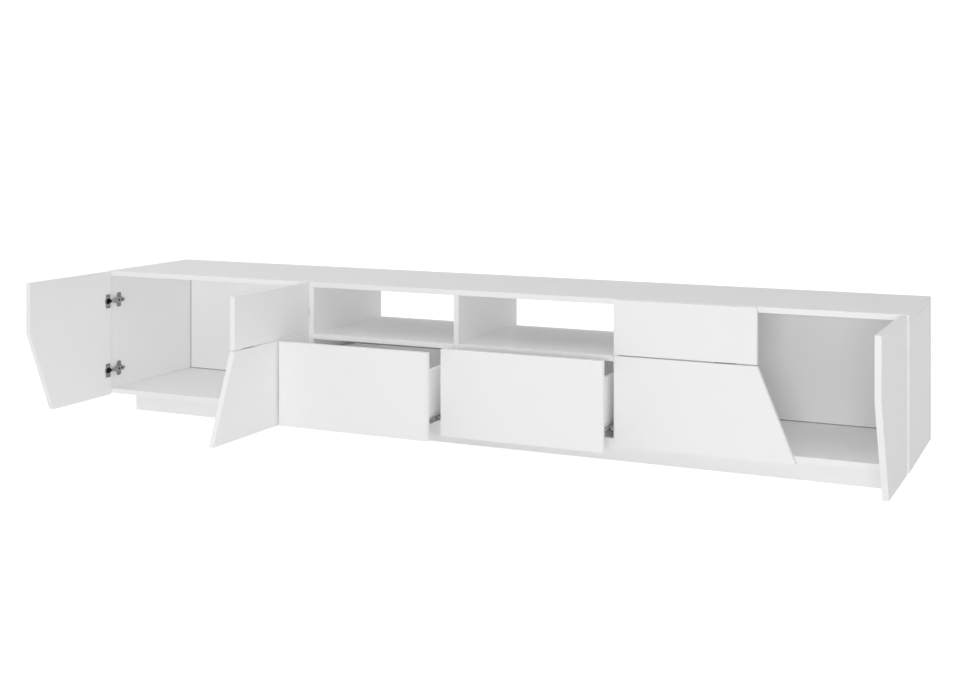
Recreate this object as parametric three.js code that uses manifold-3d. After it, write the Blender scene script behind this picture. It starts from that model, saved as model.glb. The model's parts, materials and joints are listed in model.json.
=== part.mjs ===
// A long, low TV stand: a door compartment at each end, two open cells over two drawers between them.
// Millimetres. X runs along the stand, Y from front to back, Z up. The origin is on the floor, under
// the middle of the carcass.
import * as THREE from 'three';
import { mergeVertices } from 'three/addons/utils/BufferGeometryUtils.js';
import Module from 'manifold-3d';

const wasm = await Module();
wasm.setup();

// ---- Driving dimensions ----

// Gap left where two pieces meet.
const HAIR = 0.3;

// Carcass. Heights inside it are measured from its underside, which stands on the plinth.
const WIDTH = 2600;
const DEPTH = 440;
const CARCASS_HEIGHT = 410;
const BOARD = 16;
const BACK_BOARD = 3;
const DIVIDER_X = 502;
const SHELF_TOP = 249;

// Plinth.
const PLINTH_HEIGHT = 54;
const PLINTH_FRONT_INSET = 28;
const PLINTH_BACK_INSET = 28;
const PLINTH_SIDE_INSET = { left: 96, right: 60 };

// Doors. They lie over the front edges of the carcass, a little clear of them, and reach just below it.
const FRONT_GAP = 2;
const REVEAL = 1;
const FRONT_BELOW_CARCASS = 3;
const DOOR_TO_DOOR = 7;
const OUTER_DOOR_WIDTH = 385;
const OUTER_DOOR_FOOT_WIDTH = 281;
const SEAM_HEIGHT = 251;
const SEAM_GAP = 4;
const JOINING_PLATE = { width: 60, height: 120, thickness: 2, fromFreeEdge: 60 };

// Hinges. The pivot lies inside the door's thickness, close to its hinged edge.
const PIVOT_FROM_EDGE = 7;
const PIVOT_FROM_CARCASS = 14;
const HINGE_HEIGHTS = { lower: 79.5, upper: 310.5 };
const CUP = { radius: 13, depth: 11.3, wall: 1.7, fromPivot: 10.5, standsProud: 0.6 };
const FLANGE = { from: -2, to: 20, height: 46, thickness: 1.2 };
const ARM = { tip: 3, near: 14.5, far: 19, back: 72, height: 13, seat: 1 };
const MOUNTING_PLATE = { from: 40.5, to: 60.5, height: 48, thickness: 2 };

// Drawers.
const DRAWER_PULL = { left: 170, right: 91 };
const DRAWER_FRONT_TOP = 250;
const DRAWER_FRONT_SIDE_GAP = 2;
const DRAWER_SIDE = { thickness: 12, bottom: 36, top: 191, length: 400 };
const DRAWER_BOTTOM = { thickness: 3, aboveSideEdge: 10, groove: 6 };

// Runners, in the slit between a drawer side and the carcass.
const RUNNER_SLIT = 12.5;
const SHEET = 1.2;
const CABINET_RUNNER = { front: 2, length: 390, bottom: 31, top: 56, flange: 9, lip: 4 };
const DRAWER_RUNNER = { length: 388, lipTop: 53.2, lipEnd: 10 };
const FRONT_ROLLER = { radius: 9, fromFront: 12, near: 2.3 };
const REAR_ROLLER = { radius: 8.5, fromBack: 12, far: 10.2 };

// Sides of the round pieces.
const CUP_SIDES = 28;
const ROLLER_SIDES = 20;

// ---- Places worked out from the dimensions ----

const HALF = WIDTH / 2;
const FRONT = -DEPTH / 2;
const BACK = DEPTH / 2;
const UNDERSIDE = PLINTH_HEIGHT;
const TOP = UNDERSIDE + CARCASS_HEIGHT;
const SIDE_INNER = HALF - BOARD;
const DIVIDER_OUTER = DIVIDER_X + BOARD / 2;
const DIVIDER_INNER = DIVIDER_X - BOARD / 2;
const FLOOR = UNDERSIDE + BOARD;
const CEILING = TOP - BOARD;
const SHELF = UNDERSIDE + SHELF_TOP;
const FRONT_LOW = UNDERSIDE - FRONT_BELOW_CARCASS;

// In a door's own axes the pivot is at the origin, +X runs from the hinged edge along the closed
// door, and +Y goes into the carcass.
const DOOR_INNER_FACE = PIVOT_FROM_CARCASS - FRONT_GAP;
const DOOR_OUTER_FACE = DOOR_INNER_FACE - BOARD;
const DOOR_EDGE = -PIVOT_FROM_EDGE;
const PIVOT_Y = FRONT - PIVOT_FROM_CARCASS;
const OUTER_HINGED_EDGE = HALF - REVEAL;
const INNER_HINGED_EDGE = DIVIDER_X + REVEAL;
const SECTION = OUTER_HINGED_EDGE - INNER_HINGED_EDGE;

// ---- Materials ----

const looks = {
  board: new THREE.MeshStandardMaterial({ color: 0xebebea, roughness: 0.42, metalness: 0 }),
  drawerBoard: new THREE.MeshStandardMaterial({ color: 0xe6e6e4, roughness: 0.4, metalness: 0 }),
  backBoard: new THREE.MeshStandardMaterial({ color: 0xdededb, roughness: 0.55, metalness: 0 }),
  steel: new THREE.MeshStandardMaterial({ color: 0x8f9093, roughness: 0.35, metalness: 1 }),
  runner: new THREE.MeshStandardMaterial({ color: 0x77797c, roughness: 0.5, metalness: 0.8 }),
};

// ---- Helpers ----

const stand = new THREE.Group();

function addPiece(name, geometry, look, parent = stand) {
  const mesh = new THREE.Mesh(geometry, looks[look]);
  mesh.name = name;
  parent.add(mesh);
  return mesh;
}

// A box between two corners.
function box(x0, x1, y0, y1, z0, z1) {
  const geometry = new THREE.BoxGeometry(x1 - x0, y1 - y0, z1 - z0);
  return geometry.translate((x0 + x1) / 2, (y0 + y1) / 2, (z0 + z1) / 2);
}

// The same box on the left side when side is -1: its x values are mirrored.
function sidedBox(side, x0, x1, y0, y1, z0, z1) {
  return side > 0 ? box(x0, x1, y0, y1, z0, z1) : box(-x1, -x0, y0, y1, z0, z1);
}

function shapeOf(points) {
  return new THREE.Shape(points.map(([a, b]) => new THREE.Vector2(a, b)));
}

// An outline of (x, z) points, given thickness along Y from y0 to y1.
function uprightSlab(points, y0, y1) {
  const geometry = new THREE.ExtrudeGeometry(shapeOf(points), { depth: y1 - y0, bevelEnabled: false });
  const turn = new THREE.Matrix4().set(1, 0, 0, 0, 0, 0, -1, y1, 0, 1, 0, 0, 0, 0, 0, 1);
  return geometry.applyMatrix4(turn);
}

// An outline of (x, y) points, given thickness along Z from z0 to z1.
function flatSlab(points, z0, z1) {
  const geometry = new THREE.ExtrudeGeometry(shapeOf(points), { depth: z1 - z0, bevelEnabled: false });
  return geometry.translate(0, 0, z0);
}

// A cylinder along Y or X.
function cylinderY(x, y0, y1, z, radius, sides) {
  return new THREE.CylinderGeometry(radius, radius, y1 - y0, sides).translate(x, (y0 + y1) / 2, z);
}

function cylinderX(x0, x1, y, z, radius, sides) {
  const geometry = new THREE.CylinderGeometry(radius, radius, x1 - x0, sides);
  return geometry.rotateZ(Math.PI / 2).translate((x0 + x1) / 2, y, z);
}

function toSolid(geometry) {
  const bare = geometry.clone();
  bare.deleteAttribute('normal');
  bare.deleteAttribute('uv');
  const merged = mergeVertices(bare);
  return new wasm.Manifold(new wasm.Mesh({
    numProp: 3,
    vertProperties: Float32Array.from(merged.attributes.position.array),
    triVerts: Uint32Array.from(merged.index.array),
  }));
}

function toGeometry(solid) {
  const mesh = solid.getMesh();
  const geometry = new THREE.BufferGeometry();
  geometry.setAttribute('position', new THREE.BufferAttribute(mesh.vertProperties, 3));
  geometry.setIndex(new THREE.BufferAttribute(mesh.triVerts, 1));
  const faceted = geometry.toNonIndexed();
  faceted.computeVertexNormals();
  return faceted;
}

function joined(...geometries) {
  return toGeometry(geometries.map(toSolid).reduce((all, next) => all.add(next)));
}

function cutFrom(geometry, ...cutters) {
  return toGeometry(cutters.map(toSolid).reduce((rest, cutter) => rest.subtract(cutter), toSolid(geometry)));
}

const SIDES = [['left', -1], ['right', 1]];

// ---- Carcass ----

function buildCarcass() {
  addPiece('top_panel', box(-HALF, HALF, FRONT, BACK, CEILING, TOP), 'board');
  addPiece('bottom_panel', box(-HALF, HALF, FRONT, BACK, UNDERSIDE, FLOOR), 'board');
  const low = FLOOR + HAIR;
  const high = CEILING - HAIR;
  const shelfUnder = SHELF - BOARD;
  const half = BOARD / 2;
  addPiece('divider_middle', box(-half, half, FRONT, BACK, low, high), 'board');
  for (const [word, side] of SIDES) {
    const panel = sidedBox(side, SIDE_INNER, HALF, FRONT, BACK, low, high);
    addPiece(`side_panel_${word}`, panel, 'board');
    const divider = sidedBox(side, DIVIDER_INNER, DIVIDER_OUTER, FRONT, BACK, low, high);
    addPiece(`divider_${word}`, divider, 'board');
    const shelf = sidedBox(side, half + HAIR, DIVIDER_INNER - HAIR, FRONT, BACK, shelfUnder, SHELF);
    addPiece(`cell_shelf_${word}`, shelf, 'board');
  }
}

// Thin boards nailed to the back edges. The open cells have none.
function buildBacks() {
  const y0 = BACK + HAIR;
  const y1 = y0 + BACK_BOARD;
  const margin = 2;
  const low = UNDERSIDE + margin;
  const high = TOP - margin;
  for (const [word, side] of SIDES) {
    const panel = sidedBox(side, DIVIDER_X + margin, HALF - margin, y0, y1, low, high);
    addPiece(`back_panel_${word}`, panel, 'backBoard');
  }
  const reach = DIVIDER_X - margin;
  addPiece('back_panel_drawers', box(-reach, reach, y0, y1, low, SHELF - margin), 'backBoard');
}

function buildPlinth() {
  const top = UNDERSIDE - HAIR;
  const left = -HALF + PLINTH_SIDE_INSET.left;
  const right = HALF - PLINTH_SIDE_INSET.right;
  const front = FRONT + PLINTH_FRONT_INSET;
  const back = BACK - PLINTH_BACK_INSET;
  const crossFront = front + BOARD + HAIR;
  const crossBack = back - BOARD - HAIR;
  const half = BOARD / 2;
  addPiece('plinth_front', box(left, right, front, front + BOARD, 0, top), 'board');
  addPiece('plinth_back', box(left, right, back - BOARD, back, 0, top), 'board');
  addPiece('plinth_middle_support', box(-half, half, crossFront, crossBack, 0, top), 'board');
  addPiece('plinth_side_left', box(left, left + BOARD, crossFront, crossBack, 0, top), 'board');
  addPiece('plinth_side_right', box(right - BOARD, right, crossFront, crossBack, 0, top), 'board');
}

// ---- Doors and their hinges ----

// hand is 1 for a door hinged at its left edge and -1 for one hinged at its right edge. x, y and z
// below are in the door's own axes, with x mirrored for hand -1 and z measured from the floor.
function mirrored(points, hand) {
  return points.map(([a, b]) => [hand * a, b]);
}

function doorBoard(points, hand, hingeZs) {
  const slab = uprightSlab(mirrored(points, hand), DOOR_OUTER_FACE, DOOR_INNER_FACE);
  const boreEnd = DOOR_INNER_FACE - CUP.depth - HAIR;
  const mouth = DOOR_INNER_FACE + BOARD;
  const bores = hingeZs.map((z) => (
    cylinderY(hand * CUP.fromPivot, boreEnd, mouth, z, CUP.radius + HAIR, CUP_SIDES)
  ));
  return cutFrom(slab, ...bores);
}

// The cup is open towards the carcass, and its flange lies on the door's inner face.
function hingeCup(hand, z) {
  const x = hand * CUP.fromPivot;
  const seat = DOOR_INNER_FACE + HAIR;
  const top = seat + FLANGE.thickness;
  const bottom = DOOR_INNER_FACE - CUP.depth;
  const flange = uprightSlab(mirrored([
    [FLANGE.from, z - FLANGE.height / 2],
    [FLANGE.to, z - FLANGE.height / 2],
    [FLANGE.to, z + FLANGE.height / 2],
    [FLANGE.from, z + FLANGE.height / 2],
  ], hand), seat, top);
  const cup = cylinderY(x, bottom, DOOR_INNER_FACE + CUP.standsProud, z, CUP.radius, CUP_SIDES);
  const hollow = cylinderY(x, bottom + SHEET, top + 1, z, CUP.radius - CUP.wall, CUP_SIDES);
  return cutFrom(joined(flange, cup), hollow);
}

// face is how far the board that carries the hinge lies from the pivot, towards the compartment.
function hingeArm(hand, face, z) {
  const seat = face + HAIR + MOUNTING_PLATE.thickness;
  const body = flatSlab(mirrored([
    [ARM.near, ARM.tip],
    [ARM.far, ARM.tip],
    [ARM.far, PIVOT_FROM_CARCASS],
    [seat + 10, 32],
    [seat + 8, ARM.back],
    [seat - ARM.seat, ARM.back],
    [seat - ARM.seat, 27],
    [ARM.near, 12],
  ], hand), z - ARM.height / 2, z + ARM.height / 2);
  const plateX = mirrored([[face + HAIR, 0], [seat, 0]], hand).map(([x]) => x).sort((a, b) => a - b);
  const plate = box(
    plateX[0], plateX[1],
    MOUNTING_PLATE.from, MOUNTING_PLATE.to,
    z - MOUNTING_PLATE.height / 2, z + MOUNTING_PLATE.height / 2,
  );
  return joined(body, plate);
}

// Outline of the outer door: upright free edge above the seam height, slanting in below it.
function outerDoorOutline() {
  const low = FRONT_LOW;
  const high = TOP - REVEAL;
  const knee = UNDERSIDE + SEAM_HEIGHT;
  const free = DOOR_EDGE + OUTER_DOOR_WIDTH;
  const foot = DOOR_EDGE + OUTER_DOOR_FOOT_WIDTH;
  return [[DOOR_EDGE, low], [foot, low], [free, knee], [free, high], [DOOR_EDGE, high]];
}

// Outlines of the inner door's two boards. The lower one follows the outer door's slant.
function innerDoorOutlines() {
  const low = FRONT_LOW;
  const high = TOP - REVEAL;
  const knee = UNDERSIDE + SEAM_HEIGHT;
  const free = DOOR_EDGE + SECTION - OUTER_DOOR_WIDTH - DOOR_TO_DOOR;
  const foot = DOOR_EDGE + SECTION - OUTER_DOOR_FOOT_WIDTH - DOOR_TO_DOOR;
  return {
    upper: [[DOOR_EDGE, knee + SEAM_GAP], [free, knee + SEAM_GAP], [free, high], [DOOR_EDGE, high]],
    lower: [[DOOR_EDGE, low], [foot, low], [free, knee], [DOOR_EDGE, knee]],
    free,
  };
}

function joiningPlate(hand, free) {
  const middle = UNDERSIDE + SEAM_HEIGHT + SEAM_GAP / 2;
  const right = free - JOINING_PLATE.fromFreeEdge;
  const left = right - JOINING_PLATE.width;
  const low = middle - JOINING_PLATE.height / 2;
  const high = middle + JOINING_PLATE.height / 2;
  const outline = mirrored([[left, low], [right, low], [right, high], [left, high]], hand);
  const seat = DOOR_INNER_FACE + HAIR;
  return uprightSlab(outline, seat, seat + JOINING_PLATE.thickness);
}

// A group that turns about the door's pivot. opening is in degrees.
function doorGroup(pivotX, hand, opening) {
  const group = new THREE.Group();
  group.position.set(pivotX, PIVOT_Y, 0);
  group.rotation.z = -hand * THREE.MathUtils.degToRad(opening);
  stand.add(group);
  return group;
}

function buildHinges(label, door, pivotX, hand, face) {
  const armBase = new THREE.Group();
  armBase.position.set(pivotX, PIVOT_Y, 0);
  stand.add(armBase);
  for (const [word, height] of Object.entries(HINGE_HEIGHTS)) {
    const z = UNDERSIDE + height;
    addPiece(`hinge_cup_${label}_${word}`, hingeCup(hand, z), 'steel', door);
    addPiece(`hinge_arm_${label}_${word}`, hingeArm(hand, face, z), 'steel', armBase);
  }
}

function buildDoors() {
  const zs = Object.values(HINGE_HEIGHTS).map((height) => UNDERSIDE + height);
  const [lowHinge, highHinge] = zs;
  const opening = { outer_left: 90, inner_left: 90, outer_right: 89.3, inner_right: 0 };
  for (const [word, side] of SIDES) {
    const outerHand = -side;
    const outerPivot = side * (OUTER_HINGED_EDGE - PIVOT_FROM_EDGE);
    const outer = doorGroup(outerPivot, outerHand, opening[`outer_${word}`]);
    addPiece(`outer_door_${word}`, doorBoard(outerDoorOutline(), outerHand, zs), 'board', outer);
    const sideFace = OUTER_HINGED_EDGE - PIVOT_FROM_EDGE - SIDE_INNER;
    buildHinges(`outer_${word}`, outer, outerPivot, outerHand, sideFace);

    const innerHand = side;
    const innerPivot = side * (INNER_HINGED_EDGE + PIVOT_FROM_EDGE);
    const inner = doorGroup(innerPivot, innerHand, opening[`inner_${word}`]);
    const { upper, lower, free } = innerDoorOutlines();
    addPiece(`inner_door_${word}_upper`, doorBoard(upper, innerHand, [highHinge]), 'board', inner);
    addPiece(`inner_door_${word}_lower`, doorBoard(lower, innerHand, [lowHinge]), 'board', inner);
    addPiece(`inner_door_${word}_joining_plate`, joiningPlate(innerHand, free), 'steel', inner);
    const dividerFace = DIVIDER_OUTER - INNER_HINGED_EDGE - PIVOT_FROM_EDGE;
    buildHinges(`inner_${word}`, inner, innerPivot, innerHand, dividerFace);
  }
}

// ---- Drawers and runners ----

// A drawer side, extruded front to back, with a groove for the bottom on its inner face.
// x is its outer face and inward is the direction of the drawer's inside.
function drawerSide(x, inward, y0, y1) {
  const inner = x + inward * DRAWER_SIDE.thickness;
  const groove = inner - inward * DRAWER_BOTTOM.groove;
  const low = UNDERSIDE + DRAWER_SIDE.bottom;
  const high = UNDERSIDE + DRAWER_SIDE.top;
  const grooveLow = low + DRAWER_BOTTOM.aboveSideEdge - HAIR;
  const grooveHigh = grooveLow + DRAWER_BOTTOM.thickness + 2 * HAIR;
  return uprightSlab([
    [x, low], [inner, low], [inner, grooveLow], [groove, grooveLow],
    [groove, grooveHigh], [inner, grooveHigh], [inner, high], [x, high],
  ], y0, y1);
}

// Profile of the runner on the carcass: a web with a track below and a lip above. Distances grow
// from the drawer side towards the carcass.
function cabinetRunner(x, outward) {
  const web = RUNNER_SLIT - HAIR - SHEET;
  const low = UNDERSIDE + CABINET_RUNNER.bottom;
  const high = UNDERSIDE + CABINET_RUNNER.top;
  const y0 = FRONT + CABINET_RUNNER.front;
  const profile = uprightSlab([
    [web + SHEET, low], [web + SHEET, high], [web - CABINET_RUNNER.lip, high],
    [web - CABINET_RUNNER.lip, high - SHEET], [web, high - SHEET], [web, low + SHEET],
    [web - CABINET_RUNNER.flange, low + SHEET], [web - CABINET_RUNNER.flange, low],
  ].map(([a, b]) => [x + outward * a, b]), y0, y0 + CABINET_RUNNER.length);
  const lipUnder = UNDERSIDE + DRAWER_RUNNER.lipTop - SHEET;
  const rollerZ = lipUnder - HAIR - FRONT_ROLLER.radius;
  const ends = [x + outward * FRONT_ROLLER.near, x + outward * (web + SHEET / 2)].sort((a, b) => a - b);
  const rollerY = FRONT + FRONT_ROLLER.fromFront;
  const roller = cylinderX(ends[0], ends[1], rollerY, rollerZ, FRONT_ROLLER.radius, ROLLER_SIDES);
  return joined(profile, roller);
}

// Profile of the runner on the drawer: a foot under the side, a web up its outer face, and a lip
// that the front roller carries.
function drawerRunner(x, outward, y0) {
  const footTop = UNDERSIDE + DRAWER_SIDE.bottom - HAIR;
  const footUnder = footTop - SHEET;
  const lipTop = UNDERSIDE + DRAWER_RUNNER.lipTop;
  const lipUnder = lipTop - SHEET;
  const web = HAIR + SHEET;
  const profile = uprightSlab([
    [HAIR, lipTop], [DRAWER_RUNNER.lipEnd, lipTop], [DRAWER_RUNNER.lipEnd, lipUnder],
    [web, lipUnder], [web, footUnder], [-DRAWER_SIDE.thickness, footUnder],
    [-DRAWER_SIDE.thickness, footTop], [HAIR, footTop],
  ].map(([a, b]) => [x + outward * a, b]), y0, y0 + DRAWER_RUNNER.length);
  const track = UNDERSIDE + CABINET_RUNNER.bottom + SHEET;
  const rollerZ = track + HAIR + REAR_ROLLER.radius;
  const ends = [x + outward * (HAIR + SHEET / 2), x + outward * REAR_ROLLER.far].sort((a, b) => a - b);
  const rollerY = y0 + DRAWER_RUNNER.length - REAR_ROLLER.fromBack;
  const roller = cylinderX(ends[0], ends[1], rollerY, rollerZ, REAR_ROLLER.radius, ROLLER_SIDES);
  return joined(profile, roller);
}

function buildDrawer(word, side) {
  const group = new THREE.Group();
  group.position.set(0, -DRAWER_PULL[word], 0);
  stand.add(group);

  const [bayLeft, bayRight] = side > 0 ? [BOARD / 2, DIVIDER_INNER] : [-DIVIDER_INNER, -BOARD / 2];
  const [frontLeft, frontRight] = side > 0
    ? [DRAWER_FRONT_SIDE_GAP, DIVIDER_X - DRAWER_FRONT_SIDE_GAP]
    : [-DIVIDER_X + DRAWER_FRONT_SIDE_GAP, -DRAWER_FRONT_SIDE_GAP];
  const left = bayLeft + RUNNER_SLIT;
  const right = bayRight - RUNNER_SLIT;
  const frontBack = FRONT - FRONT_GAP;
  const low = FRONT_LOW;
  const high = UNDERSIDE + DRAWER_FRONT_TOP;
  const front = box(frontLeft, frontRight, frontBack - BOARD, frontBack, low, high);
  addPiece(`drawer_${word}_front`, front, 'board', group);

  const y0 = frontBack + HAIR;
  const y1 = y0 + DRAWER_SIDE.length;
  addPiece(`drawer_${word}_side_left`, drawerSide(left, 1, y0, y1), 'drawerBoard', group);
  addPiece(`drawer_${word}_side_right`, drawerSide(right, -1, y0, y1), 'drawerBoard', group);

  const innerLeft = left + DRAWER_SIDE.thickness;
  const innerRight = right - DRAWER_SIDE.thickness;
  const bottomLow = UNDERSIDE + DRAWER_SIDE.bottom + DRAWER_BOTTOM.aboveSideEdge;
  const bottomHigh = bottomLow + DRAWER_BOTTOM.thickness;
  const bite = DRAWER_BOTTOM.groove - HAIR;
  const bottom = box(innerLeft - bite, innerRight + bite, y0, y1, bottomLow, bottomHigh);
  addPiece(`drawer_${word}_bottom`, bottom, 'backBoard', group);
  const boxTop = UNDERSIDE + DRAWER_SIDE.top;
  const back = box(
    innerLeft + HAIR, innerRight - HAIR,
    y1 - DRAWER_SIDE.thickness, y1,
    bottomHigh + HAIR, boxTop,
  );
  addPiece(`drawer_${word}_back`, back, 'drawerBoard', group);

  for (const [runnerWord, x, outward] of [['left', left, -1], ['right', right, 1]]) {
    addPiece(`runner_cabinet_${word}_drawer_${runnerWord}`, cabinetRunner(x, outward), 'runner');
    addPiece(`runner_drawer_${word}_drawer_${runnerWord}`, drawerRunner(x, outward, y0), 'runner', group);
  }
}

buildCarcass();
buildBacks();
buildPlinth();
buildDoors();
for (const [word, side] of SIDES) buildDrawer(word, side);

export default stand;
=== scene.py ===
import json
import math

import bmesh
import bpy
from mathutils import Matrix, Vector


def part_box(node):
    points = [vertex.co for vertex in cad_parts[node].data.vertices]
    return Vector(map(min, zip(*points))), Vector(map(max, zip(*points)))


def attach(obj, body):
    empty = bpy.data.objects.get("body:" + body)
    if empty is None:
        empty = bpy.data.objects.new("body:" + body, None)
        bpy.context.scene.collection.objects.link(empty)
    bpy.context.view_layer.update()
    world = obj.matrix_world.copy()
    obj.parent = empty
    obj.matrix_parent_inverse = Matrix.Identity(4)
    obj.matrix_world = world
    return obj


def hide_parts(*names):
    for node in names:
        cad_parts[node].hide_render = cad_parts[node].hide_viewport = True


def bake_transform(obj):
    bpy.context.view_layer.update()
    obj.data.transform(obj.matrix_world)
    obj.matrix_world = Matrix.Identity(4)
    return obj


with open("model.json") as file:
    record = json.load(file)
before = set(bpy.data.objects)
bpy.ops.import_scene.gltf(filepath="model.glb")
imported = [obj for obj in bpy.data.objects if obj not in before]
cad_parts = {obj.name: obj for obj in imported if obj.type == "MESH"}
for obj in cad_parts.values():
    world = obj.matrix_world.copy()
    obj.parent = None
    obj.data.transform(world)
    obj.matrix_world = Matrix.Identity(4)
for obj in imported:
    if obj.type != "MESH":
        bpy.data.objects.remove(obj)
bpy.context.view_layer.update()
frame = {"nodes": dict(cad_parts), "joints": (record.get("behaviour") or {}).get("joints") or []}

MM = 0.001

# ---- Camera, light and floor ----

CAMERA_PLACE = (1.8184, -4.0033, 0.9598)
CAMERA_YAW_DEGREES = 25.0
CAMERA_LENS = 52.36
CAMERA_SENSOR = 36.0
CAMERA_SHIFT = (0.0128, -0.2270)

# How strong the studio's white is, from the low and from the high end of an axis.
SKY = {"X": (1.35, 0.63), "Z": (0.0, 0.95)}
WHITE_SEEN = 1.02
LIGHT_BOUNCES = 14

# Azimuth and elevation in degrees, width and height in metres, power in watts.
SOFTBOXES = {
    "low_softbox": (14, 6, (3.0, 1.5), 272),
    "high_softbox": (20, 45, (8.0, 6.0), 140),
}
SOFTBOX_AIM = (0, 0, 0.25)
SOFTBOX_DISTANCE = 12.0

FLOOR_REACH = 40.0
FLOOR_DROP = 0.3 * MM
FLOOR_COLOUR = (0.62, 0.62, 0.62)
FLOOR_ROUGHNESS = 0.9
FLOOR_SPECULAR = 0.1
FLOOR_GLOW = 0.26
FLOOR_GLOW_SEEN = 0.72


def link_object(name, data):
    made = bpy.data.objects.new(name, data)
    bpy.context.scene.collection.objects.link(made)
    return made


def make_camera():
    data = bpy.data.cameras.new("camera")
    data.sensor_width = CAMERA_SENSOR
    data.lens = CAMERA_LENS
    data.shift_x, data.shift_y = CAMERA_SHIFT
    camera = link_object("camera", data)
    camera.location = CAMERA_PLACE
    camera.rotation_euler = (math.radians(90), 0, math.radians(CAMERA_YAW_DEGREES))
    bpy.context.scene.camera = camera


def feed(tree, socket, value):
    """Gives a socket a number, or the output of another node."""
    if isinstance(value, (int, float)):
        socket.default_value = value
    else:
        tree.links.new(value, socket)


def maths_node(tree, operation, *values):
    made = tree.nodes.new("ShaderNodeMath")
    made.operation = operation
    for socket, value in zip(made.inputs, values):
        feed(tree, socket, value)
    return made.outputs["Value"]


def seen_or_lit(tree, seen, lit):
    """One value for the camera, and another one for the light that reaches the stand."""
    path = tree.nodes.new("ShaderNodeLightPath")
    choice = tree.nodes.new("ShaderNodeMix")
    feed(tree, choice.inputs["A"], lit)
    feed(tree, choice.inputs["B"], seen)
    tree.links.new(path.outputs["Is Camera Ray"], choice.inputs["Factor"])
    return choice.outputs["Result"]


def make_world():
    """A white studio, lit unevenly from its sides, seen by the camera as plain white."""
    scene = bpy.context.scene
    scene.view_settings.view_transform = "Standard"
    scene.cycles.max_bounces = LIGHT_BOUNCES
    scene.cycles.diffuse_bounces = LIGHT_BOUNCES
    world = bpy.data.worlds.new("studio")
    world.use_nodes = True
    tree = world.node_tree
    tree.nodes.clear()
    place = tree.nodes.new("ShaderNodeTexCoord")
    direction = tree.nodes.new("ShaderNodeSeparateXYZ")
    tree.links.new(place.outputs["Generated"], direction.inputs["Vector"])
    total = 0.0
    for axis, (low, high) in SKY.items():
        along = direction.outputs[axis]
        from_high = maths_node(tree, "GREATER_THAN", along, 0.0)
        strength = maths_node(tree, "MULTIPLY_ADD", from_high, high - low, low)
        squared = maths_node(tree, "MULTIPLY", along, along)
        lobe = maths_node(tree, "MULTIPLY", squared, strength)
        total = maths_node(tree, "ADD", lobe, total)
    background = tree.nodes.new("ShaderNodeBackground")
    background.inputs["Color"].default_value = (1, 1, 1, 1)
    output = tree.nodes.new("ShaderNodeOutputWorld")
    tree.links.new(seen_or_lit(tree, WHITE_SEEN, total), background.inputs["Strength"])
    tree.links.new(background.outputs["Background"], output.inputs["Surface"])
    scene.world = world


def add_softbox(name, azimuth, elevation, size, power):
    """A far lamp aimed at the stand, its azimuth counted from straight in front towards +X."""
    data = bpy.data.lights.new(name, "AREA")
    data.shape = "RECTANGLE"
    data.size, data.size_y = size
    data.energy = power
    around, up = math.radians(azimuth), math.radians(elevation)
    away = Vector((math.cos(up) * math.sin(around), -math.cos(up) * math.cos(around), math.sin(up)))
    softbox = link_object(name, data)
    softbox.location = Vector(SOFTBOX_AIM) + away * SOFTBOX_DISTANCE
    softbox.rotation_euler = (-away).to_track_quat("-Z", "Y").to_euler()


def make_floor():
    material = bpy.data.materials.new("pale_floor")
    material.use_nodes = True
    shader = material.node_tree.nodes["Principled BSDF"]
    shader.inputs["Base Color"].default_value = (*FLOOR_COLOUR, 1)
    shader.inputs["Roughness"].default_value = FLOOR_ROUGHNESS
    shader.inputs["Specular IOR Level"].default_value = FLOOR_SPECULAR
    shader.inputs["Emission Color"].default_value = (1, 1, 1, 1)
    glow = seen_or_lit(material.node_tree, FLOOR_GLOW_SEEN, FLOOR_GLOW)
    material.node_tree.links.new(glow, shader.inputs["Emission Strength"])
    bm = bmesh.new()
    bmesh.ops.create_grid(bm, x_segments=1, y_segments=1, size=FLOOR_REACH)
    mesh = bpy.data.meshes.new("floor")
    bm.to_mesh(mesh)
    bm.free()
    mesh.materials.append(material)
    floor = link_object("floor", mesh)
    floor.location.z = -FLOOR_DROP


# ---- Materials ----

# The values that most of a noise lies between, and those between which wear sets in.
NOISE_RANGE = (0.3, 0.7)
WEAR_RANGE = (0.45, 0.62)
# Width in millimetres of the lines of painted shade where a back board passes behind the carcass: the shade
# in each corner is painted on as a dark strip.
PAINTED_SHADE_LINE_WIDTH = 2.6


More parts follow.
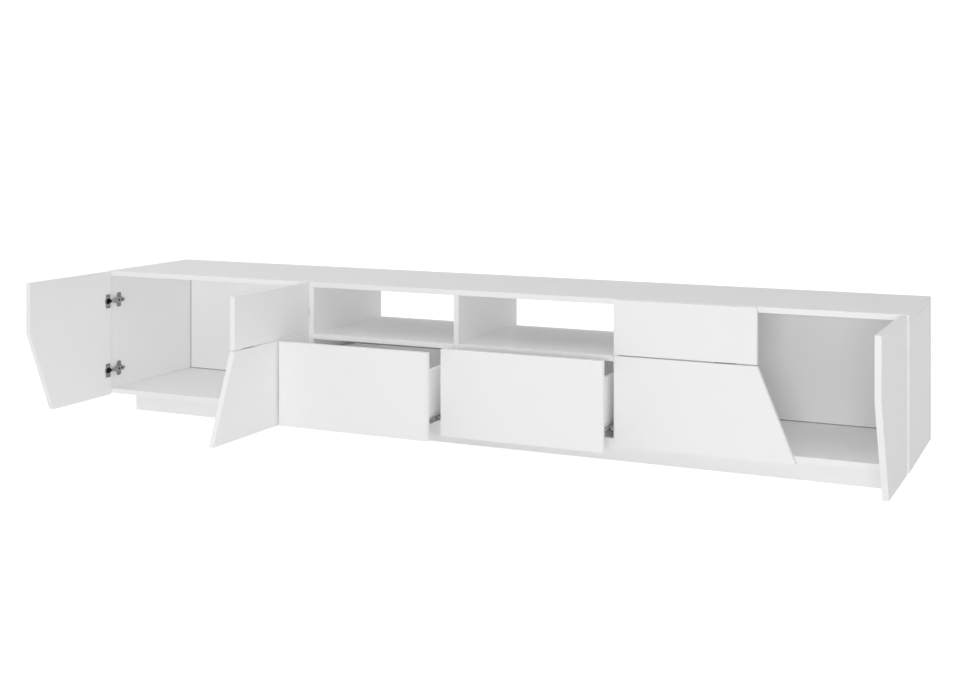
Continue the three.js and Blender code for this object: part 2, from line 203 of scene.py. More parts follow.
class Look:
    """A node material whose shader is fed by small noises in the object's own coordinates."""

    def __init__(self, name, colour, roughness, metallic=0.0, specular=0.5):
        self.material = bpy.data.materials.new(name)
        self.material.use_nodes = True
        self.tree = self.material.node_tree
        self.shader = self.tree.nodes["Principled BSDF"]
        self.colour = colour
        self.roughness = roughness
        self.set("Base Color", (*colour, 1))
        self.set("Roughness", roughness)
        self.set("Metallic", metallic)
        self.set("Specular IOR Level", specular)
        self.place = self.node("ShaderNodeTexCoord").outputs["Object"]
        self.colour_out = None
        self.normal_out = None

    def set(self, socket, value):
        self.shader.inputs[socket].default_value = value

    def node(self, kind, **properties):
        made = self.tree.nodes.new(kind)
        for name, value in properties.items():
            setattr(made, name, value)
        return made

    def link(self, output, socket):
        self.tree.links.new(output, socket)

    def stretched(self, scale):
        """The object's coordinates, scaled along each axis."""
        mapping = self.node("ShaderNodeMapping")
        mapping.inputs["Scale"].default_value = scale
        self.link(self.place, mapping.inputs["Vector"])
        return mapping.outputs["Vector"]

    def noise(self, scale, detail=2.0, stretch=None):
        texture = self.node("ShaderNodeTexNoise")
        texture.inputs["Scale"].default_value = scale
        texture.inputs["Detail"].default_value = detail
        self.link(self.stretched(stretch) if stretch else self.place, texture.inputs["Vector"])
        return texture.outputs["Fac"]

    def ranged(self, value, low, high, to_low, to_high):
        made = self.node("ShaderNodeMapRange")
        for name, number in zip(("From Min", "From Max", "To Min", "To Max"), (low, high, to_low, to_high)):
            made.inputs[name].default_value = number
        self.link(value, made.inputs["Value"])
        return made.outputs["Result"]

    def tint(self, mask, colour):
        """Moves the base colour towards another where the mask is 1."""
        mix = self.node("ShaderNodeMix", data_type="RGBA")
        if self.colour_out is None:
            mix.inputs["A"].default_value = (*self.colour, 1)
        else:
            self.link(self.colour_out, mix.inputs["A"])
        mix.inputs["B"].default_value = (*colour, 1)
        self.link(mask, mix.inputs["Factor"])
        self.colour_out = mix.outputs["Result"]
        self.link(self.colour_out, self.shader.inputs["Base Color"])

    def vary_roughness(self, noise, spread):
        rough = self.ranged(noise, *NOISE_RANGE, self.roughness - spread, self.roughness + spread)
        self.link(rough, self.shader.inputs["Roughness"])

    def bump(self, height, depth):
        """Adds a relief of that depth in metres."""
        made = self.node("ShaderNodeBump")
        made.inputs["Strength"].default_value = 1.0
        made.inputs["Distance"].default_value = depth
        self.link(height, made.inputs["Height"])
        if self.normal_out is not None:
            self.link(self.normal_out, made.inputs["Normal"])
        self.normal_out = made.outputs["Normal"]
        self.link(self.normal_out, self.shader.inputs["Normal"])

    def maths(self, operation, *values):
        return maths_node(self.tree, operation, *values)

    def lines_at(self, places, width, depth):
        """1 on lines of that width, each at a distance from an axis's zero on either side, 0 elsewhere.

        The lines are only on what lies in front of that depth.
        """
        parts = self.node("ShaderNodeSeparateXYZ")
        self.link(self.place, parts.inputs["Vector"])
        mask = 0.0
        for axis, distance in places:
            away = self.maths("SUBTRACT", self.maths("ABSOLUTE", parts.outputs[axis]), distance)
            near = self.maths("LESS_THAN", self.maths("ABSOLUTE", away), width / 2)
            mask = self.maths("MAXIMUM", near, mask)
        return self.maths("MULTIPLY", mask, self.maths("LESS_THAN", parts.outputs["Y"], depth))

    def patches(self, colour, scale, detail, low, high, amount):
        """Patches of another colour: none where a noise is below low, and amount of it above high."""
        self.tint(self.ranged(self.noise(scale, detail), low, high, 0.0, amount), colour)

    def wear(self, colour, scale, amount):
        """Patches where the finish has rubbed, for the rounded edges."""
        self.patches(colour, scale, 3.0, *WEAR_RANGE, amount)


def painted_shade_lines():
    """Where the back boards pass behind the inner faces of the side panel, divider and bottom board, and
    the shade in their corners is painted on.
    """
    side = abs(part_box("side_panel_left")[1].x)
    divider = abs(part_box("divider_left")[0].x)
    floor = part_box("bottom_panel")[1].z
    half = PAINTED_SHADE_LINE_WIDTH * MM / 2
    return [("X", side - half), ("X", divider + half), ("Z", floor + half)]


def white_lacquer(part):
    """Lacquered white board: a faint orange peel, and wide patches that barely differ in tone and gloss."""
    look = Look(f"white_lacquer_{part}", (0.96, 0.96, 0.96), 0.42, specular=0.3)
    look.patches((0.945, 0.945, 0.946), 2.2, 3.0, *NOISE_RANGE, 0.2)
    if part == "edge":
        look.wear((0.86, 0.855, 0.84), 55.0, 0.5)
    look.vary_roughness(look.noise(9.0, 4.0), 0.03)
    look.bump(look.noise(330.0, 2.0), 0.004 * MM)
    return look.material


def drawer_white(part):
    """Melamine with a fine pressed grain."""
    look = Look(f"drawer_melamine_{part}", (0.96, 0.96, 0.96), 0.45, specular=0.35)
    look.patches((0.945, 0.945, 0.945), 5.0, 4.0, 0.35, 0.7, 0.2)
    if part == "edge":
        look.wear((0.76, 0.75, 0.72), 60.0, 0.6)
    look.vary_roughness(look.noise(40.0, 3.0), 0.06)
    look.bump(look.noise(1100.0, 3.0, stretch=(1.0, 0.25, 1.0)), 0.03 * MM)
    return look.material


def thin_board(part):
    """Painted hardboard with a fibre texture, bare fibre at its cut edges, and painted shade: dark lines in
    the corners of its joints.
    """
    look = Look(f"painted_hardboard_{part}", (0.95, 0.95, 0.95), 0.5, specular=0.3)
    look.patches((0.93, 0.93, 0.93), 90.0, 5.0, 0.4, 0.75, 0.25)
    if part == "edge":
        look.wear((0.36, 0.27, 0.19), 160.0, 0.8)
    else:
        low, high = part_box("back_panel_left")
        # Painted shade: the shadow in each corner where a board meets the back is painted on as a dark grey
        # strip.
        lines = look.lines_at(painted_shade_lines(), PAINTED_SHADE_LINE_WIDTH * MM, (low.y + high.y) / 2)
        look.tint(lines, (0.30, 0.295, 0.29))
    look.vary_roughness(look.noise(30.0, 3.0), 0.07)
    look.bump(look.noise(700.0, 4.0, stretch=(1.0, 1.0, 0.4)), 0.05 * MM)
    return look.material


def steel(part, name, colour, roughness, smudge):
    """Nickel-plated or zinc-coated sheet, drawn along Y, with smudges and bright edges."""
    look = Look(f"{name}_{part}", colour, roughness, metallic=1.0)
    look.patches(smudge, 120.0, 4.0, 0.35, 0.7, 0.8)
    if part == "edge":
        look.wear(tuple(min(1.0, c * 1.8) for c in colour), 220.0, 0.9)
    look.vary_roughness(look.noise(450.0, 3.0, stretch=(1.0, 0.08, 1.0)), 0.09)
    look.bump(look.noise(1400.0, 2.0, stretch=(1.0, 0.06, 1.0)), 0.012 * MM)
    return look.material


def nylon(part):
    look = Look(f"roller_nylon_{part}", (0.55, 0.55, 0.54), 0.45)
    look.patches((0.44, 0.44, 0.43), 260.0, 3.0, 0.4, 0.7, 0.4)
    if part == "edge":
        look.wear((0.66, 0.66, 0.65), 300.0, 0.7)
    look.vary_roughness(look.noise(300.0, 2.0), 0.06)
    look.bump(look.noise(1600.0, 2.0), 0.02 * MM)
    return look.material


def face_and_edge(make, *details):
    """Two materials of one look: for the faces, and for the rounded edges."""
    return [make(part, *details) for part in ("face", "edge")]


LOOKS = {
    "board": face_and_edge(white_lacquer),
    "drawer": face_and_edge(drawer_white),
    "back": face_and_edge(thin_board),
    "hinge": face_and_edge(steel, "hinge_nickel", (0.36, 0.36, 0.365), 0.36, (0.28, 0.28, 0.285)),
    "arm": face_and_edge(steel, "arm_nickel", (0.43, 0.43, 0.435), 0.34, (0.36, 0.36, 0.365)),
    "bright": face_and_edge(steel, "screw_zinc", (0.45, 0.45, 0.46), 0.3, (0.36, 0.36, 0.37)),
    # Near-black steel: painted shade, darker than nickel, for the hollow of the hinge cup. The links and
    # the arm's adjusting screws share it.
    "cup_dark": face_and_edge(steel, "cup_inside", (0.03, 0.03, 0.032), 0.6, (0.015, 0.015, 0.015)),
    "runner": face_and_edge(steel, "runner_zinc", (0.46, 0.46, 0.465), 0.42, (0.36, 0.36, 0.365)),
    "nylon": face_and_edge(nylon),
}

# ---- Mesh kit: closed shapes in millimetres ----

STRIP_STEP = 2.0
BEVEL_ANGLE = math.radians(32)
SHARP_ANGLE = math.radians(40)

# Which of x, y and z an outline's two coordinates and its thickness run along.
PLANES = {
    "xy": Matrix.Identity(4),
    "xz": Matrix(((1, 0, 0, 0), (0, 0, 1, 0), (0, 1, 0, 0), (0, 0, 0, 1))),
    "yz": Matrix(((0, 0, 1, 0), (1, 0, 0, 0), (0, 1, 0, 0), (0, 0, 0, 1))),
}


def add_prism(bm, outline, low, high, plane):
    turn = PLANES[plane]
    ends = [[bm.verts.new(turn @ Vector((a, b, c))) for a, b in outline] for c in (low, high)]
    bm.faces.new(ends[0])
    bm.faces.new(reversed(ends[1]))
    count = len(outline)
    for i in range(count):
        j = (i + 1) % count
        bm.faces.new((ends[0][i], ends[1][i], ends[1][j], ends[0][j]))


def add_lathe(bm, profile, matrix, sides=28):
    """Turns a profile of (radius, height) about the matrix's Z. It starts and ends on the axis."""
    rings = []
    for radius, height in profile:
        if radius == 0:
            rings.append([bm.verts.new(matrix @ Vector((0, 0, height)))])
            continue
        turns = [2 * math.pi * i / sides for i in range(sides)]
        rings.append([
            bm.verts.new(matrix @ Vector((radius * math.cos(t), radius * math.sin(t), height)))
            for t in turns
        ])
    for below, above in zip(rings, rings[1:]):
        for i in range(sides):
            j = (i + 1) % sides
            corners = [
                below[i % len(below)], below[j % len(below)],
                above[j % len(above)], above[i % len(above)],
            ]
            distinct = [c for n, c in enumerate(corners) if c not in corners[:n]]
            bm.faces.new(distinct)


def on_circle(centre, radius, degrees):
    turn = math.radians(degrees)
    return (centre[0] + radius * math.cos(turn), centre[1] + radius * math.sin(turn))


def arc(centre, radius, start, end, steps):
    """Points on an arc, angles in degrees."""
    return [on_circle(centre, radius, start + (end - start) * i / steps) for i in range(steps + 1)]


def rounded_rectangle(x0, x1, z0, z1, radius, steps=5):
    corners = ((x1 - radius, z1 - radius, 0), (x0 + radius, z1 - radius, 90),
               (x0 + radius, z0 + radius, 180), (x1 - radius, z0 + radius, 270))
    return [p for x, z, start in corners for p in arc((x, z), radius, start, start + 90, steps)]


def filleted(path, radius, steps=5):
    """An open path with its corners rounded."""
    points = [Vector(path[0])]
    for before, corner, after in zip(path, path[1:], path[2:]):
        here = Vector(corner)
        back = (Vector(before) - here).normalized()
        ahead = (Vector(after) - here).normalized()
        half = back.angle(ahead) / 2
        reach = radius / math.tan(half)
        centre = here + (back + ahead).normalized() * (radius / math.sin(half))
        first = here + back * reach - centre
        last = here + ahead * reach - centre
        turn = first.angle_signed(last)
        for i in range(steps + 1):
            t = -turn * i / steps
            c, s = math.cos(t), math.sin(t)
            points.append(centre + Vector((first.x * c - first.y * s, first.x * s + first.y * c)))
    points.append(Vector(path[-1]))
    return points


def path_normals(points):
    normals = []
    for i, _ in enumerate(points):
        along = points[min(i + 1, len(points) - 1)] - points[max(i - 1, 0)]
        normals.append(Vector((-along.y, along.x)).normalized())
    return normals


def sheet_outline(path, thickness, radius):
    """Outline of a bent sheet whose middle line follows the path."""
    points = filleted(path, radius)
    normals = path_normals(points)
    upper = [p + n * thickness / 2 for p, n in zip(points, normals)]
    lower = [p - n * thickness / 2 for p, n in zip(points, normals)]
    return [tuple(p) for p in upper + lower[::-1]]


def cut_into_steps(points, step):
    """The same path with its long straight runs cut up."""
    cut = [points[0]]
    for a, b in zip(points, points[1:]):
        count = math.ceil((b - a).length / step)
        cut += [a.lerp(b, i / count) for i in range(1, count + 1)]
    return cut


def add_strip(bm, path, radius, thickness, half_width):
    """A bent sheet in the xy plane. half_width gives its half width along Z for a share of its length."""
    points = cut_into_steps(filleted(path, radius), STRIP_STEP)
    normals = path_normals(points)
    lengths = [0.0]
    for a, b in zip(points, points[1:]):
        lengths.append(lengths[-1] + (b - a).length)
    rows = []
    for point, normal, length in zip(points, normals, lengths):
        half = half_width(length / lengths[-1])
        row = []
        for face, z in ((1, half), (1, -half), (-1, -half), (-1, half)):
            corner = point + normal * face * thickness / 2
            row.append(bm.verts.new((corner.x, corner.y, z)))
        rows.append(row)
    bm.faces.new(rows[0])
    bm.faces.new(reversed(rows[-1]))
    for a, b in zip(rows, rows[1:]):
        for i in range(4):
            j = (i + 1) % 4
            bm.faces.new((a[i], b[i], b[j], a[j]))


def baked_mesh(made):
    """The object's mesh with its modifiers applied."""
    depsgraph = bpy.context.evaluated_depsgraph_get()
    return bpy.data.meshes.new_from_object(made.evaluated_get(depsgraph))


def combined(bm, other, operation):
    """Boolean of two meshes held in bmesh, as a new bmesh."""
    objects = []
    for source in (bm, other):
        bmesh.ops.recalc_face_normals(source, faces=source.faces)
        mesh = bpy.data.meshes.new("operand")
        source.to_mesh(mesh)
        source.free()
        objects.append(link_object("operand", mesh))
    modifier = objects[0].modifiers.new("boolean", "BOOLEAN")
    modifier.operation = operation
    modifier.solver = "EXACT"
    modifier.object = objects[1]
    result = bmesh.new()
    result.from_mesh(baked_mesh(objects[0]))
    for made in objects:
        bpy.data.objects.remove(made)
    return result


def add_copy(bm, source, matrix):
    """Adds a copy of a bmesh, moved by the matrix."""
    mesh = bpy.data.meshes.new("copy")
    source.to_mesh(mesh)
    mesh.transform(matrix)
    bm.from_mesh(mesh)
    bpy.data.meshes.remove(mesh)


def soften(made, width, segments=2):
    """Rounds the hard edges, in the second material."""
    bevel = made.modifiers.new("rounding", "BEVEL")
    bevel.width = width
    bevel.segments = segments
    bevel.limit_method = "ANGLE"
    bevel.angle_limit = BEVEL_ANGLE
    bevel.material = 1
    normals = made.modifiers.new("normals", "WEIGHTED_NORMAL")
    normals.keep_sharp = False


def finish_piece(name, bm, matrix, body, look, rounding=0.0, replaces=()):
    """Makes an object of a bmesh in millimetres, placed by the matrix, riding on a body."""
    bmesh.ops.transform(bm, matrix=matrix @ Matrix.Scale(MM, 4), verts=bm.verts)
    bmesh.ops.recalc_face_normals(bm, faces=bm.faces)
    mesh = bpy.data.meshes.new(name)
    bm.to_mesh(mesh)
    bm.free()
    mesh.shade_smooth()
    mesh.set_sharp_from_angle(angle=SHARP_ANGLE)
    for material in LOOKS[look]:
        mesh.materials.append(material)
    made = link_object(name, mesh)
    if rounding:
        soften(made, rounding * MM)
    if body:
        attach(made, body)
    if replaces:
        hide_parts(*replaces)
    return made


# ---- Boards that keep their CAD shape ----

BOARD_ROUNDING = 0.7
THIN_ROUNDING = 0.3
ROUNDING_SEGMENTS = 3
WELD_DISTANCE = 0.01
FLAT_ANGLE = math.radians(1)


def look_of_node(name):
    if name.startswith("drawer_") and not name.endswith("_front"):
        return "back" if name.endswith("_bottom") else "drawer"
    if name.startswith("back_panel"):
        return "back"
    if name.endswith("joining_plate"):
        return "hinge"
    return "board"


def finish_boards():
    """Gives each board its two materials and rounded edges. Its triangles become plain flat faces first."""
    for name, node in frame["nodes"].items():
        if name.startswith(("hinge_", "runner_")):
            continue
        look = look_of_node(name)
        node.data.materials.clear()
        for material in LOOKS[look]:
            node.data.materials.append(material)
        node.data.shade_smooth()
        weld = node.modifiers.new("weld", "WELD")
        weld.merge_threshold = WELD_DISTANCE * MM
        flat = node.modifiers.new("flat_faces", "DECIMATE")
        flat.decimate_type = "DISSOLVE"
        flat.angle_limit = FLAT_ANGLE
        thin = look in ("back", "hinge")
        soften(node, (THIN_ROUNDING if thin else BOARD_ROUNDING) * MM, ROUNDING_SEGMENTS)


# ---- Screws ----

def phillips_screw(radius, height):
    """A domed head with a cross recess, its underside at z 0."""
    dome = bmesh.new()
    add_lathe(dome, [
        (0, 0), (radius, 0), (radius, height * 0.3),
        (radius * 0.86, height * 0.72), (radius * 0.5, height * 0.95), (0, height),
    ], Matrix.Identity(4), sides=24)
    reach, blade, depth = radius * 0.62, radius * 0.13, height * 0.45
    cross = bmesh.new()
    add_prism(cross, [
        (reach, -blade), (reach, blade), (blade, blade),
        (blade, reach), (-blade, reach), (-blade, blade),
        (-reach, blade), (-reach, -blade), (-blade, -blade),
        (-blade, -reach), (blade, -reach), (blade, -blade),
    ], depth, height * 2, "xy")
    return combined(dome, cross, "DIFFERENCE")


SCREW = phillips_screw(3.9, 2.0)
FLAT_SCREW = phillips_screw(3.4, 0.6)
ADJUSTER = phillips_screw(4.2, 1.4)


def aimed(place, axis, spin=0.0):
    """Places a shape at a point with its Z along an axis."""
    turn = Vector(axis).to_track_quat("Z", "Y").to_matrix().to_4x4()
    return Matrix.Translation(place) @ turn @ Matrix.Rotation(math.radians(spin), 4, "Z")


# ---- Hinges ----

# In a hinge's own axes the pivot is at the origin, x runs from the hinged edge along the closed door,
# y goes into the carcass, and z is up from the middle of the hinge.
DOOR_FACE = 12.0
CARCASS_PLANE = 14.0
CUP_X = 10.5
CUP_RADIUS = 13.0
CUP_BOTTOM = 0.7
CUP_WALL = 1.6
CUP_SIDES = 40

FLANGE_X = (-2, 20)
FLANGE_HALF_HEIGHT = 23.0
FLANGE_LIFT = 0.3
FLANGE_TOP = 1.5
SKIRT_WIDTH = 0.5
SKIRT_STEP_DEGREES = 9
SLOT_X = (0.8, 15.4)
SLOT_HALF_HEIGHT = 9.3
NOTCH_X = (12, 19.4)
NOTCH_HALF_HEIGHT = 6.1
CUP_SCREW_X = 13.5
CUP_SCREW_HEIGHTS = (-19.0, 19.0)

NOSE_X = 17.9
ARM_THICKNESS = 1.3
ARM_BEND = 5.0
CHEEK_HALF_HEIGHT = 5.6
CHEEK_THICKNESS = 1.2
# Half widths of the arm at shares of its length: slim nose, wide neck, and a body with a rounded tail.
ARM_HALF_WIDTHS = (
    (0, 4.8), (0.19, 5.0), (0.24, 8.0), (0.3, 9.0), (0.48, 9.0),
    (0.56, 7.6), (0.88, 6.6), (0.96, 4.6), (1, 1.6),
)
# How far into the carcass each adjusting screw is, and how its cross is turned.
ADJUSTERS = ((39.0, 10), (55.0, 60))

PLATE_THICKNESS = 2.0
PLATE_CORNER = 5
PLATE_SCREW_DEPTH = 36.5
PLATE_SCREW_HEIGHTS = (-17.0, 17.0)

# The links' inner and outer radius about the pivot. Each plate has a low and a high side and its own
# inner radius, and the middle one is thinner.
LINK_RADIUS = (14.2, 17.4)
LINK_PLATES = ((-4.6, -3.0, 14.2), (3.0, 4.6, 14.2), (-3.0, 3.0, 16.0))
LINK_STEPS = 12
LINK_NOSE_DEGREES = 14.0
LINK_CUP_DEGREES = 28.0


def cup_body():
    """Pressed cup, seen through the flange's slot."""
    bm = bmesh.new()
    turn = Matrix.Translation((CUP_X, 0, 0)) @ Matrix.Rotation(math.radians(-90), 4, "X")
    wall = CUP_RADIUS - CUP_WALL
    add_lathe(bm, [
        (0, CUP_BOTTOM), (CUP_RADIUS - 2.5, CUP_BOTTOM), (CUP_RADIUS - 0.7, CUP_BOTTOM + 0.7),
        (CUP_RADIUS, CUP_BOTTOM + 2.5), (CUP_RADIUS, DOOR_FACE + 0.2), (wall, DOOR_FACE + 0.2),
        (wall, CUP_BOTTOM + 3.2), (wall - 1.5, CUP_BOTTOM + 1.6), (0, CUP_BOTTOM + 1.2),
    ], turn, sides=CUP_SIDES)
    return bm


def flange():
    """Flange with two wings for its screws, a round skirt over the cup, and a notched slot for the arm."""
    low, high = DOOR_FACE + FLANGE_LIFT, DOOR_FACE + FLANGE_TOP
    wings = bmesh.new()
    outline = rounded_rectangle(*FLANGE_X, -FLANGE_HALF_HEIGHT, FLANGE_HALF_HEIGHT, 2.5)
    add_prism(wings, outline, low, high, "xz")
    skirt = bmesh.new()
    last = 360 - SKIRT_STEP_DEGREES
    outline = arc((CUP_X, 0), CUP_RADIUS + SKIRT_WIDTH, 0, last, last // SKIRT_STEP_DEGREES)
    add_prism(skirt, outline, low, high - 0.01, "xz")
    plate = combined(wings, skirt, "UNION")
    for across, half_height, corner in ((SLOT_X, SLOT_HALF_HEIGHT, 3.5), (NOTCH_X, NOTCH_HALF_HEIGHT, 1)):
        opening = bmesh.new()
        outline = rounded_rectangle(*across, -half_height, half_height, corner)
        add_prism(opening, outline, low - 1, high + 1, "xz")
        plate = combined(plate, opening, "DIFFERENCE")
    return plate


def arm_half_width(share):
    """Half the arm's width at a share of its length, which runs from nose to tail."""
    for (start, low), (end, high) in zip(ARM_HALF_WIDTHS, ARM_HALF_WIDTHS[1:]):
        if share <= end:
            return low + (high - low) * (share - start) / (end - start)
    return ARM_HALF_WIDTHS[-1][1]


def arm_body(seat):
    """Bent channel: web facing the compartment, two cheeks, and a nose that reaches into the cup."""
    bm = bmesh.new()
    web = [(NOSE_X, 3.2), (NOSE_X, 13.5), (seat + 9.4, 31), (seat + 7.4, 71.5)]
    add_strip(bm, web, ARM_BEND, ARM_THICKNESS, arm_half_width)
    cheek = [
        (15.0, 4.5), (NOSE_X, 3.6), (NOSE_X + 0.2, 13), (seat + 9.4, 30.5), (seat + 8.2, 62),
        (seat + 0.3, 62), (seat + 0.3, 37), (seat + 3.5, 27), (15.0, 13),
    ]
    for side in (-1, 1):
        low, high = sorted((side * (CHEEK_HALF_HEIGHT - CHEEK_THICKNESS), side * CHEEK_HALF_HEIGHT))
        add_prism(bm, cheek, low, high, "xy")
    return bm


def mounting_plate(face):
    """Cross-shaped plate on the board, its wings screwed 37 mm behind the front edge."""
    bm = bmesh.new()
    wing_low, wing_high, wing_end = 40.5, 60.5, 24.0
    pad_low, pad_high, pad_half = 34.0, 66.0, 8.5
    corner_low, corner_high = wing_low + PLATE_CORNER, wing_high - PLATE_CORNER
    corner_end = wing_end - PLATE_CORNER
    outline = [
        (pad_low, -pad_half), (wing_low, -pad_half),
        *arc((corner_low, -corner_end), PLATE_CORNER, 180, 270, 5),
        *arc((corner_high, -corner_end), PLATE_CORNER, 270, 360, 5),
        (wing_high, -pad_half), (pad_high, -pad_half), (pad_high, pad_half), (wing_high, pad_half),
        *arc((corner_high, corner_end), PLATE_CORNER, 0, 90, 5),
        *arc((corner_low, corner_end), PLATE_CORNER, 90, 180, 5),
        (wing_low, pad_half), (pad_low, pad_half),
    ]
    add_prism(bm, outline, face, face + PLATE_THICKNESS, "yz")
    return bm


def link_plates(opening):
    """Two links between nose and cup, and the plate between them. Returns the mesh and its two ends."""
    nose_angle, cup_angle = LINK_NOSE_DEGREES, LINK_CUP_DEGREES - opening
    inner, outer = LINK_RADIUS
    bm = bmesh.new()
    for low, high, back_radius in LINK_PLATES:
        rim = arc((0, 0), outer, nose_angle, cup_angle, LINK_STEPS)
        back = arc((0, 0), back_radius, cup_angle, nose_angle, LINK_STEPS)
        add_prism(bm, rim + back, low, high, "xy")
    middle = (inner + outer) / 2
    ends = [on_circle((0, 0), middle, angle) for angle in (nose_angle, cup_angle)]
    return bm, ends


CUP_MASTER = cup_body()
FLANGE_MASTER = flange()


def add_hinge(joint, height_word):
    """All pieces of one hinge. What is on the door is turned as far as the door stands open."""
    body = joint["child"]
    pivot = Vector(joint["pos_m"])
    side = math.copysign(1, pivot.x)
    hand = -side if body.startswith("outer") else side
    opening = -joint["range_deg"][0]
    label = f"{body.replace('_door', '')}_{height_word}"
    arm_node = f"hinge_arm_{label}"
    low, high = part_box(arm_node)
    pivot.z = (low.z + high.z) / 2
    face = min(hand * (low.x - pivot.x), hand * (high.x - pivot.x)) / MM
    seat = face + PLATE_THICKNESS
    fixed = Matrix.Translation(pivot) @ Matrix.Diagonal((hand, 1, 1, 1))
    turned = Matrix.Translation(pivot) @ Matrix.Rotation(-hand * math.radians(opening), 4, "Z")
    turned = turned @ Matrix.Diagonal((hand, 1, 1, 1))

    # The cup's near-black colour is painted shade for its hollow.
    cup = finish_piece(f"cup_{label}", CUP_MASTER.copy(), turned, body, "cup_dark", 0.2)
    plate = finish_piece(f"cup_flange_{label}", FLANGE_MASTER.copy(), turned, body, "hinge", 0.25)
    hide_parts(f"hinge_cup_{label}")
    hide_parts(f"hinge_cup_{label}")

    screws = bmesh.new()
    for z in CUP_SCREW_HEIGHTS:
        add_copy(screws, SCREW, aimed((CUP_SCREW_X, DOOR_FACE + FLANGE_TOP, z), (0, 1, 0), spin=20))
    finish_piece(f"cup_screws_{label}", screws, turned, body, "hinge", 0.1)

    finish_piece(f"arm_{label}", arm_body(seat), fixed, "root", "arm", 0.3, [arm_node])
    finish_piece(f"mounting_plate_{label}", mounting_plate(face), fixed, "root", "hinge", 0.4, [arm_node])
    screws = bmesh.new()
    for z in PLATE_SCREW_HEIGHTS:
        add_copy(screws, SCREW, aimed((seat, CARCASS_PLANE + PLATE_SCREW_DEPTH, z), (1, 0, 0), spin=35))
    finish_piece(f"plate_screws_{label}", screws, fixed, "root", "hinge", 0.1)
    # The arm's web slopes towards its tail, and the adjusting screws stand on it.
    screws = bmesh.new()
    for y, spin in ADJUSTERS:
        add_copy(screws, ADJUSTER, aimed((seat + 9.6 - (y - 31) * 0.05, y, 0), (1, 0.05, 0), spin=spin))
    finish_piece(f"arm_screws_{label}", screws, fixed, "root", "cup_dark", 0.1)

    links, ends = link_plates(opening)
    strip = finish_piece(f"links_{label}", links, fixed, None, "cup_dark", 0.2)
    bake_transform(strip)


# ---- Drawer runners ----

RUNNER_SHEET = 1.2
RUNNER_BEND = 1.5
ROLLER_SIDES = 36
AXLE_PROUD = 0.2

# Across a rail, x grows from the drawer side's face towards the carcass, and z is from its low edge.
# The screws and slots are in the web, their depth counted from the rail's front end. The wheel's depth
# is from the end that it is at: the front of a cabinet rail, the rear of a drawer rail.
CABINET_RAIL = {
    "profile": [(7.0, 24.4), (11.6, 24.4), (11.6, 0.6), (2.0, 0.6)],
    "outer_side": 12.2, "web_face": 11.0, "web_middle": 12.5,
    "screws": (37.0, 165.0, 325.0),
    "slots": (69.0, 101.0, 133.0, 229.0, 261.0, 293.0), "slot_half": (9, 2.6),
    "wheel_depth": 10.0, "wheel_height": 11.7, "wheel_radius": 9.0, "wheel_face": 2.5, "wheel_width": 8.4,
    "towards_web": 1,
}
DRAWER_RAIL = {
    "profile": [(10.0, 20.1), (0.9, 20.1), (0.9, 2.6), (-12.0, 2.6)],
    "outer_side": 10.2, "web_face": 1.5, "web_middle": 11.5,
    "screws": (32.0, 160.0, 320.0),
    "slots": (64.0, 96.0, 224.0, 256.0), "slot_half": (7, 2.4),
    "wheel_depth": 12.0, "wheel_height": 8.5, "wheel_radius": 8.5, "wheel_face": 1.6, "wheel_width": 8.3,
    "towards_web": -1,
}


def add_runner(node, body, rail):
    """The rail, the wheel, and the axle and screws of one runner."""
    low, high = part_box(node)
    outward = -1 if node.endswith("left") else 1
    length = (high.y - low.y) / MM
    towards_web, web, middle = rail["towards_web"], rail["web_face"], rail["web_middle"]
    edge = high.x if outward > 0 else low.x
    origin = Vector((edge - outward * rail["outer_side"] * MM, low.y, low.z))
    place = Matrix.Translation(origin) @ Matrix.Diagonal((outward, 1, 1, 1))

    sheet = bmesh.new()
    add_prism(sheet, sheet_outline(rail["profile"], RUNNER_SHEET, RUNNER_BEND), 0, length, "xz")
    cutters = bmesh.new()
    half_length, half_height = rail["slot_half"]
    for y in rail["slots"]:
        outline = rounded_rectangle(
            y - half_length, y + half_length, middle - half_height, middle + half_height, half_height - 0.1)
        add_prism(cutters, outline, web - 3, web + 3, "yz")
    sheet = combined(sheet, cutters, "DIFFERENCE")
    finish_piece(node.replace("runner", "rail"), sheet, place, body, "runner", 0.2, [node])

    wheel = bmesh.new()
    wheel_y = rail["wheel_depth"] if towards_web > 0 else length - rail["wheel_depth"]
    wheel_z, near, width = rail["wheel_height"], rail["wheel_face"], rail["wheel_width"]
    across = Matrix.Translation((near, wheel_y, wheel_z)) @ Matrix.Rotation(math.radians(90), 4, "Y")
    add_wheel(wheel, across, rail["wheel_radius"], width)
    finish_piece(node.replace("runner", "roller"), wheel, place, body, "nylon", 0.15)

    pins = bmesh.new()
    free_end = near - AXLE_PROUD if towards_web > 0 else near + width + AXLE_PROUD
    axle = Matrix.Translation((free_end, wheel_y, wheel_z))
    axle = axle @ Matrix.Rotation(math.radians(90 * towards_web), 4, "Y")
    add_lathe(pins, [(0, 0), (1.9, 0.1), (2.6, 0.5), (2.6, width - 0.4), (0, width - 0.4)], axle, 24)
    for y in rail["screws"]:
        add_copy(pins, FLAT_SCREW, aimed((web, y, middle), (-towards_web, 0, 0), spin=y))
    finish_piece(node.replace("runner", "rail_screws"), pins, place, body, "bright", 0.0)


def add_wheel(bm, place, radius, width):
    """Wheel with a rounded tread and a recessed web on both sides, starting at height 0."""
    hub = radius * 0.5
    add_lathe(bm, [
        (0, 0), (hub, 0), (hub, 0.7), (radius - 1.8, 0.7), (radius - 1.5, 0.1), (radius - 0.6, 0.2),
        (radius, 1.0), (radius, width - 1.0), (radius - 0.6, width - 0.2), (radius - 1.5, width - 0.1),
        (radius - 1.8, width - 0.7), (hub, width - 0.7), (hub, width), (0, width),
    ], place, ROLLER_SIDES)


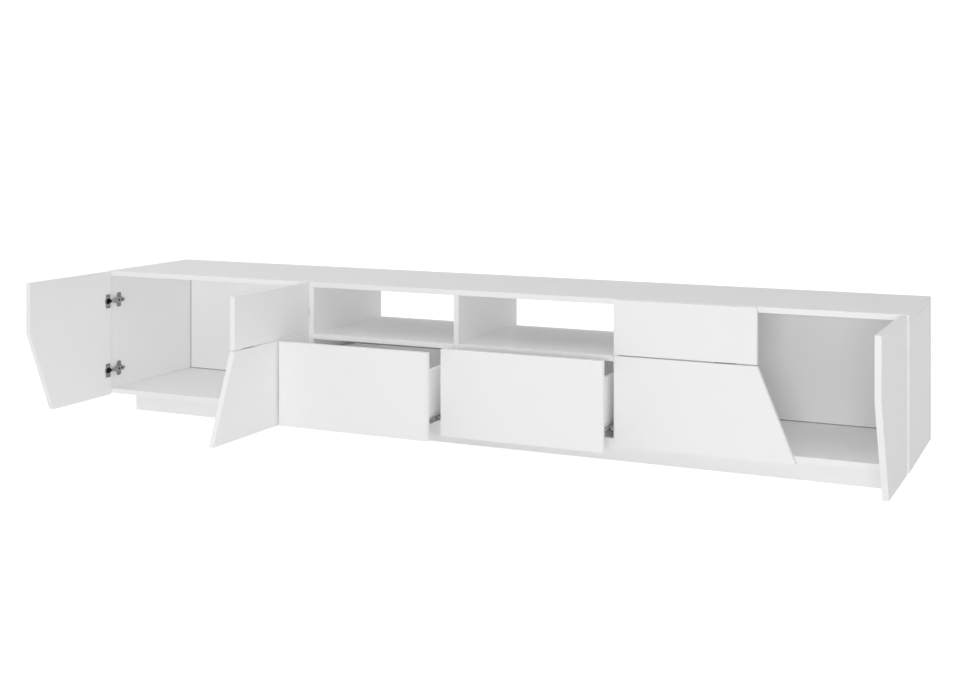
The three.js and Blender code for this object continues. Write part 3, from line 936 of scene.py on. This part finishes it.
def add_runners():
    for name in sorted(frame["nodes"]):
        if name.startswith("runner_cabinet"):
            add_runner(name, "root", CABINET_RAIL)
        elif name.startswith("runner_drawer"):
            add_runner(name, "drawer_left" if "_left_drawer" in name else "drawer_right", DRAWER_RAIL)


# ---- Joining plates and nails ----

# Shares of a joining plate's height and width where its screws are.
JOINING_PLATE_SCREWS = {0.1: (0.22, 0.78), 0.36: (0.5,), 0.64: (0.5,), 0.9: (0.22, 0.78)}
NAIL_INSET = 6.0
NAIL_SPACING = 115.0


def add_plate_screws():
    """Three screws in each half of an inner door's joining plate, on the side away from the board."""
    for joint in frame["joints"]:
        body = joint["child"]
        if not body.startswith("inner_door"):
            continue
        low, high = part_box(f"{body}_joining_plate")
        size = high - low
        across = 0 if size.x > size.y else 1
        thin = 1 - across
        board_low, board_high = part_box(f"{body}_upper")
        away = 1 if (low + high)[thin] > (board_low + board_high)[thin] else -1
        face = high[thin] if away > 0 else low[thin]
        axis = Vector((0, 0, 0))
        axis[thin] = away
        screws = bmesh.new()
        for row, shares in JOINING_PLATE_SCREWS.items():
            for share in shares:
                spot = Vector((0, 0, low.z + row * size.z))
                spot[thin] = face
                spot[across] = low[across] + share * size[across]
                add_copy(screws, FLAT_SCREW, aimed(spot / MM, axis, spin=row * 200))
        finish_piece(f"{body}_plate_screws", screws, Matrix.Identity(4), body, "bright")


def add_back_nails():
    """Nail heads along the edges of each back board, where a carcass board lies behind them."""
    head = bmesh.new()
    add_lathe(head, [(0, 0), (2.4, 0), (2.4, 0.25), (1.7, 0.5), (0, 0.6)], Matrix.Identity(4), 16)
    for word in ("left", "right", "drawers"):
        low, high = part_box(f"back_panel_{word}")
        x0, x1, z0, z1 = (v / MM for v in (low.x, high.x, low.z, high.z))
        wide, tall = x1 - x0 - 2 * NAIL_INSET, z1 - z0 - 2 * NAIL_INSET
        count = round(wide / NAIL_SPACING)
        rows = round(tall / NAIL_SPACING)
        spots = [(x0 + NAIL_INSET + wide * i / count, z) for i in range(count + 1)
                 for z in (z0 + NAIL_INSET, z1 - NAIL_INSET)]
        spots += [(x, z0 + NAIL_INSET + tall * i / rows) for i in range(1, rows)
                  for x in (x0 + NAIL_INSET, x1 - NAIL_INSET)]
        nails = bmesh.new()
        for x, z in spots:
            add_copy(nails, head, aimed((x, high.y / MM, z), (0, 1, 0)))
        finish_piece(f"back_nails_{word}", nails, Matrix.Identity(4), "root", "bright")
    head.free()


# ---- The scene ----

make_camera()
make_world()
for softbox_name, softbox_details in SOFTBOXES.items():
    add_softbox(softbox_name, *softbox_details)
make_floor()
finish_boards()
for swing in frame["joints"]:
    if swing["type"] == "hinge":
        for height_name in ("lower", "upper"):
            add_hinge(swing, height_name)
add_runners()
add_plate_screws()
add_back_nails()
for master in (CUP_MASTER, FLANGE_MASTER, SCREW, FLAT_SCREW, ADJUSTER):
    master.free()
